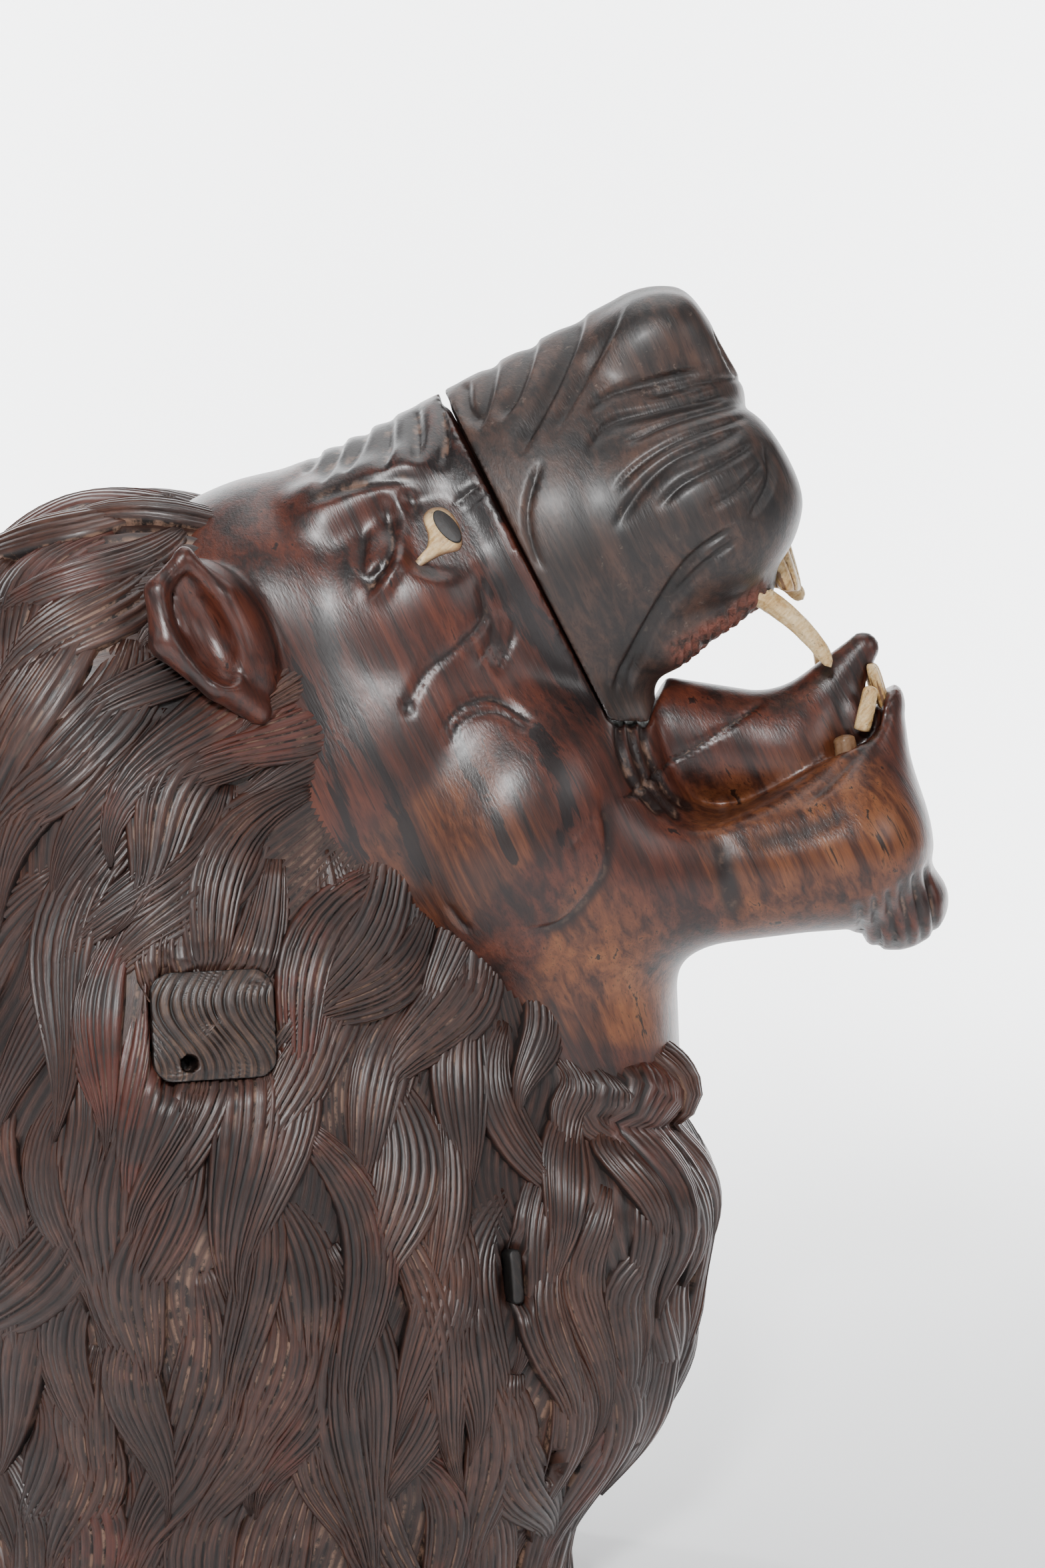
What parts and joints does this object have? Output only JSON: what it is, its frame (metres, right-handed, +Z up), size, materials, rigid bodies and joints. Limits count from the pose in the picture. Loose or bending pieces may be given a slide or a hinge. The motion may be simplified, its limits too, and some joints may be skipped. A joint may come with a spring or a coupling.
{
  "type": "carved wooden lion bust",
  "caption": "Rosewood bust of a roaring lion with raised muzzle, open mouth, bone teeth and eyes, and a mane of carved locks, cut flat below.",
  "frame": {"origin": "middle of the flat underside", "axes": "+X the way the lion looks, +Y its left side, +Z up"},
  "size_m": [0.4122, 0.2314, 0.4996],
  "materials": {
    "carved_wood": "waxed rosewood, satin, brown dust in the carving",
    "dark_carved_wood": "waxed dark rosewood, satin",
    "patch_wood": "dull worn wood",
    "bone": "aged bone, satin",
    "horn": "polished dark horn"
  },
  "bodies": {
    "root": {"lion_head_and_mane": "carved_wood", "snout_block": "dark_carved_wood", "eye_right": "bone", "eye_left": "bone", "pupil_right": "horn", "pupil_left": "horn", "upper_canine_right": "bone", "upper_canine_left": "bone", "upper_incisor_strip": "bone", "lower_canine_left": "bone", "lower_canine_stub_right": "bone", "lower_corner_incisor_right": "bone", "lower_incisor_strip": "bone", "mane_repair_patch": "patch_wood", "mane_peg": "horn"}
  },
  "joints": []
}
